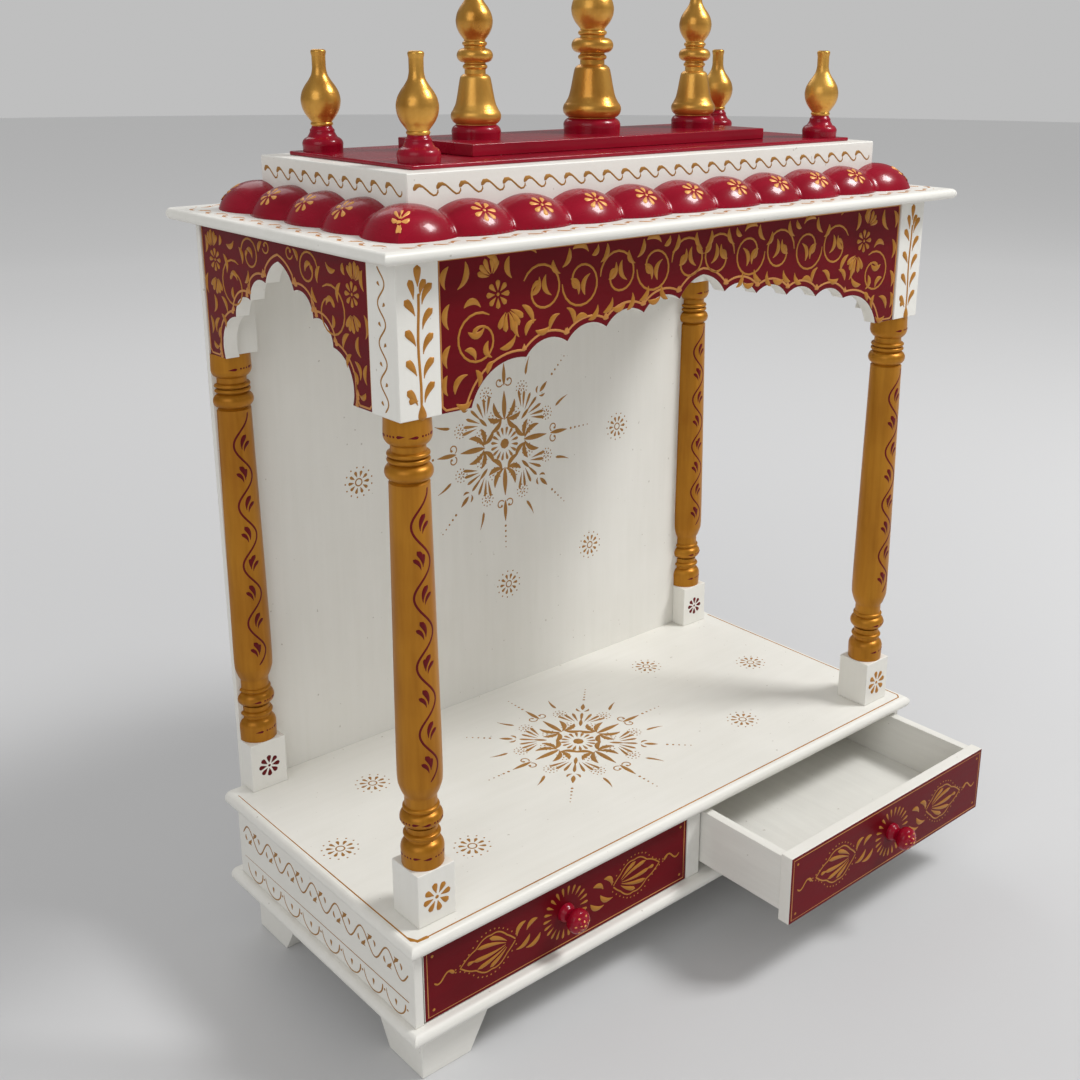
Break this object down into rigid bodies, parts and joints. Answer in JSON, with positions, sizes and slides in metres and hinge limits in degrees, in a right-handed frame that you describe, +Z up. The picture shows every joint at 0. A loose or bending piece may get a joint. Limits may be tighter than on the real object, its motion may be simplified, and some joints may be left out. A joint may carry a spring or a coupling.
{
  "type": "wooden home temple",
  "caption": "White, red and gold painted wooden home temple with turned pillars, scalloped arches, a petal cornice, finials and base drawers.",
  "frame": {"origin": "on the floor, under the middle of the whole object's box with the right drawer open as stored", "axes": "+X along the front to the right, +Y from the front to the back, +Z up"},
  "size_m": [0.612, 0.422, 0.831],
  "materials": {
    "white_paint": "satin off-white paint on wood",
    "drawer_box_paint": "satin off-white paint on wood",
    "pillar_paint": "ochre gold paint with red vines, white square parts",
    "finial_paint": "ochre gold paint over a glossy dark red base",
    "arch_paint": "dark red paint with gold ornament, white edges",
    "roof_red_paint": "glossy dark red paint",
    "drawer_red_paint": "dark red paint with gold ornament"
  },
  "bodies": {
    "temple": {"front_left_foot": "white_paint", "front_right_foot": "white_paint", "back_left_foot": "white_paint", "back_right_foot": "white_paint", "plinth": "white_paint", "cabinet_left_side": "white_paint", "cabinet_right_side": "white_paint", "cabinet_back_board": "white_paint", "cabinet_divider": "white_paint", "drawer_runners": "drawer_box_paint", "deck": "white_paint", "back_panel": "white_paint", "front_left_pillar": "pillar_paint", "front_right_pillar": "pillar_paint", "back_left_pillar": "pillar_paint", "back_right_pillar": "pillar_paint", "front_arch": "arch_paint", "left_arch": "arch_paint", "right_arch": "arch_paint", "cornice": "white_paint", "front_petals": "roof_red_paint", "back_petals": "roof_red_paint", "left_petals": "roof_red_paint", "right_petals": "roof_red_paint", "tier": "white_paint", "roof_plate": "roof_red_paint", "roof_slab": "roof_red_paint", "front_left_finial": "finial_paint", "front_right_finial": "finial_paint", "back_left_finial": "finial_paint", "back_right_finial": "finial_paint", "left_spire": "finial_paint", "middle_spire": "finial_paint", "right_spire": "finial_paint"},
    "left_drawer": {"left_drawer_front": "drawer_red_paint", "left_drawer_sides": "drawer_box_paint", "left_drawer_back": "drawer_box_paint", "left_drawer_bottom": "drawer_box_paint", "left_drawer_knob": "drawer_red_paint"},
    "right_drawer": {"right_drawer_front": "drawer_red_paint", "right_drawer_sides": "drawer_box_paint", "right_drawer_back": "drawer_box_paint", "right_drawer_bottom": "drawer_box_paint", "right_drawer_knob": "drawer_red_paint"}
  },
  "joints": [
    {"name": "left_drawer_slide", "type": "slide", "parent": "temple", "child": "left_drawer", "axis": [0, -1, 0], "range_m": [0, 0.165]},
    {"name": "right_drawer_slide", "type": "slide", "parent": "temple", "child": "right_drawer", "axis": [0, -1, 0], "range_m": [-0.104, 0.061]}
  ]
}
